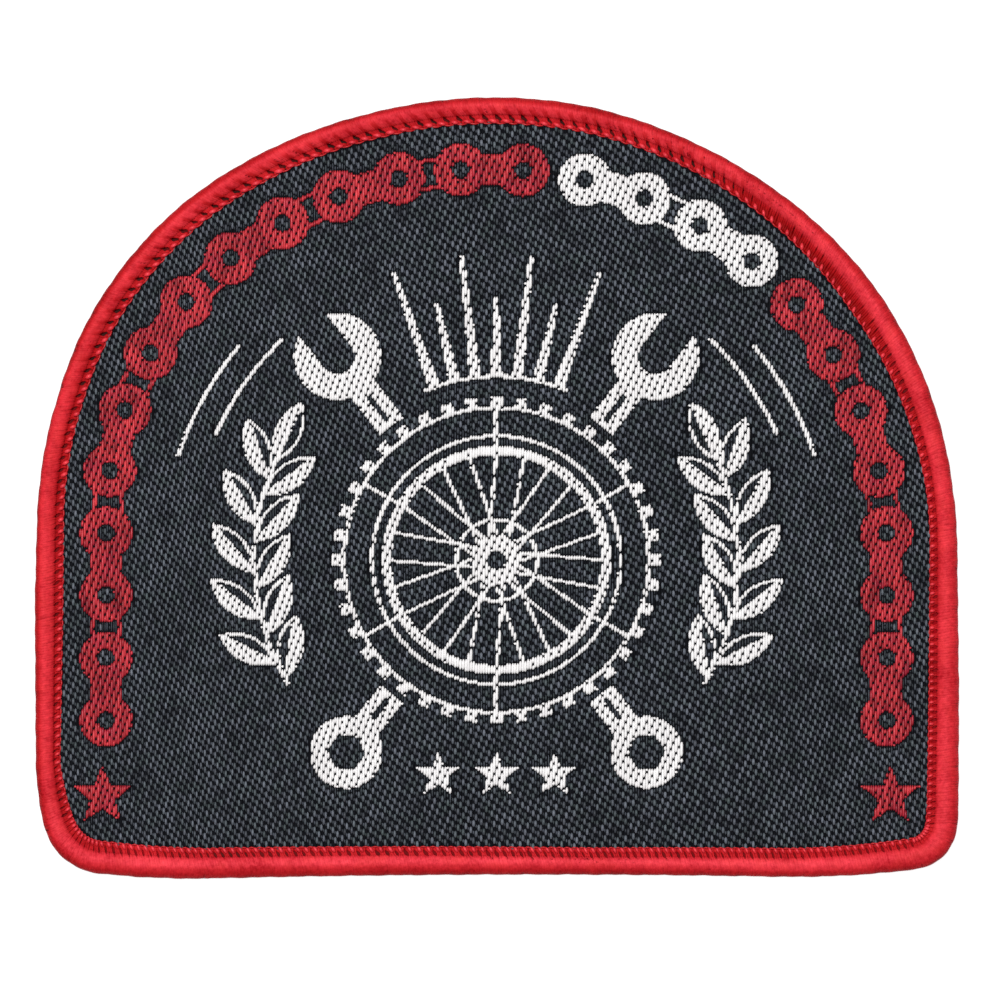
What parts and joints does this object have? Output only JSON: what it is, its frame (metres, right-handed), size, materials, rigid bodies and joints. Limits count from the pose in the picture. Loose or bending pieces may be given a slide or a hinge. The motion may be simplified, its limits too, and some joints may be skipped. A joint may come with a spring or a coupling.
{
  "type": "woven biker patch",
  "caption": "Woven cloth patch for a rider's jacket: arched top, rounded corners, red merrowed border, dark ground with white and red woven figures.",
  "frame": {"origin": "middle of the outline's box, on the surface that the patch lies on", "axes": "+X to the right of the face, +Y to its arched top, +Z out of the face"},
  "size_m": [0.1016, 0.0858, 0.0023],
  "materials": {
    "ground_thread": "dense satin weave of near-black and grey thread",
    "border_thread": "overlocked red thread with a satin shine",
    "white_thread": "smooth white woven thread",
    "red_thread": "smooth red woven thread"
  },
  "bodies": {
    "root": {"ground_cloth": "ground_thread", "merrow_border": "border_thread", "spoked_wheel": "white_thread", "sun_rays": "white_thread", "chain_white": "white_thread", "spanner_jaw_left": "white_thread", "spanner_ring_left": "white_thread", "leaf_sprig_left": "white_thread", "motion_line_left_1": "white_thread", "motion_line_left_2": "white_thread", "spanner_jaw_right": "white_thread", "spanner_ring_right": "white_thread", "leaf_sprig_right": "white_thread", "motion_line_right_1": "white_thread", "motion_line_right_2": "white_thread", "foot_star_1": "white_thread", "foot_star_2": "white_thread", "foot_star_3": "white_thread", "chain_red_left": "red_thread", "chain_red_right": "red_thread", "corner_star_left": "red_thread", "corner_star_right": "red_thread"}
  },
  "joints": []
}
